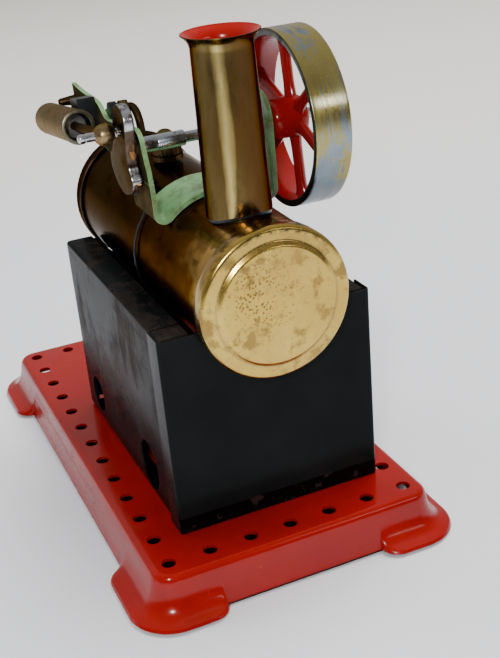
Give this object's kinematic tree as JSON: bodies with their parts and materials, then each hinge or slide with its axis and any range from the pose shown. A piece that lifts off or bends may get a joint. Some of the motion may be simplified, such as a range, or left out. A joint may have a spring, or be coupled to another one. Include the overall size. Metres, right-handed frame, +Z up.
{
  "type": "model steam engine",
  "caption": "Model steam engine: brass boiler in a black firebox on a red pressed base, with chimney, oscillating cylinder, crank and spoked flywheel.",
  "frame": {"origin": "on the ground under the middle of the base, at the bottom centre of the bounding box", "axes": "+X along the boiler to the chimney end, -Y the cylinder side, +Y the flywheel side, +Z up"},
  "size_m": [0.1812, 0.104, 0.1533],
  "materials": {
    "base_plate": "glossy red enamel",
    "firebox_left_side": "worn gloss black enamel",
    "firebox_right_side": "worn gloss black enamel",
    "firebox_front_end": "gloss black enamel",
    "firebox_rear_end": "gloss black enamel",
    "boiler_tube": "heat tarnished",
    "boiler_cap_front": "polished, spotted",
    "boiler_cap_rear": "heat tarnished",
    "chimney": "tarnished outside, red inside",
    "engine_frame": "chipped pale green enamel",
    "frame_clamp_wire": "dull",
    "bearing_bush_left": "dull",
    "bearing_bush_right": "dull",
    "crankshaft": "bright",
    "shaft_sleeve": "bright",
    "crank_web": "worn plating",
    "crank_pin": "bright",
    "flywheel": "red enamel, bare worn tread",
    "flywheel_grub_screw": "dull",
    "cylinder_barrel": "tarnished",
    "cylinder_end_cap": "tarnished",
    "cylinder_port_block": "dark",
    "cylinder_nozzle": "tarnished",
    "cylinder_pivot_pin": "bright",
    "pivot_nut": "dull",
    "pivot_spring": "dull",
    "piston": "oiled",
    "piston_rod": "tarnished",
    "big_end_ball": "worn bright",
    "big_end_pin": "bright",
    "steam_union": "dark",
    "steam_union_nut": "tarnished",
    "steam_pipe": "heat darkened",
    "steam_pipe_collar": "tarnished",
    "boiler_bush": "tarnished",
    "safety_valve_body": "tarnished",
    "safety_valve_cap": "tarnished",
    "safety_valve_stem": "dull",
    "safety_valve_collar": "dull",
    "safety_valve_spring": "dull",
    "burner_tray": "sooty",
    "burner_fuel_cup": "sooty",
    "burner_handle": "dull"
  },
  "bodies": {
    "engine_body": {"base_plate": "base_plate", "firebox_left_side": "firebox_left_side", "firebox_right_side": "firebox_right_side", "firebox_front_end": "firebox_front_end", "firebox_rear_end": "firebox_rear_end", "boiler_tube": "boiler_tube", "boiler_cap_front": "boiler_cap_front", "boiler_cap_rear": "boiler_cap_rear", "chimney": "chimney", "engine_frame": "engine_frame", "frame_clamp_wire": "frame_clamp_wire", "bearing_bush_left": "bearing_bush_left", "bearing_bush_right": "bearing_bush_right", "steam_union": "steam_union", "steam_union_nut": "steam_union_nut", "steam_pipe": "steam_pipe", "steam_pipe_collar": "steam_pipe_collar", "boiler_bush": "boiler_bush", "safety_valve_body": "safety_valve_body", "safety_valve_spring": "safety_valve_spring"},
    "crank": {"crankshaft": "crankshaft", "shaft_sleeve": "shaft_sleeve", "crank_web": "crank_web", "crank_pin": "crank_pin", "flywheel": "flywheel", "flywheel_grub_screw": "flywheel_grub_screw"},
    "cylinder": {"cylinder_barrel": "cylinder_barrel", "cylinder_end_cap": "cylinder_end_cap", "cylinder_port_block": "cylinder_port_block", "cylinder_nozzle": "cylinder_nozzle", "cylinder_pivot_pin": "cylinder_pivot_pin", "pivot_nut": "pivot_nut", "pivot_spring": "pivot_spring"},
    "piston_assembly": {"piston": "piston", "piston_rod": "piston_rod", "big_end_ball": "big_end_ball", "big_end_pin": "big_end_pin"},
    "safety_valve": {"safety_valve_cap": "safety_valve_cap", "safety_valve_stem": "safety_valve_stem", "safety_valve_collar": "safety_valve_collar"},
    "burner": {"burner_tray": "burner_tray", "burner_fuel_cup": "burner_fuel_cup", "burner_handle": "burner_handle"}
  },
  "joints": [
    {"name": "crank_spin", "type": "hinge", "parent": "engine_body", "child": "crank", "pos_m": [0.0303, 0, 0.1205], "axis": [0, 1, 0], "continuous": true},
    {"name": "cylinder_rock", "type": "hinge", "parent": "engine_body", "child": "cylinder", "pos_m": [-0.0095, -0.0177, 0.1205], "axis": [0, 1, 0], "range_deg": [-0.5, 15.38]},
    {"name": "piston_slide", "type": "slide", "parent": "cylinder", "child": "piston_assembly", "axis": [0.9916, 0, 0.1295], "range_m": [-0.00709, 0.00391]},
    {"name": "safety_valve_lift", "type": "slide", "parent": "engine_body", "child": "safety_valve", "axis": [0, 0, 1], "range_m": [0, 0.001], "stiffness_N_per_m": 150, "springref_m": -0.002, "deforming": ["safety_valve_spring"]},
    {"name": "burner_slide", "type": "slide", "parent": "engine_body", "child": "burner", "axis": [-1, 0, 0], "range_m": [0, 0.055]}
  ]
}
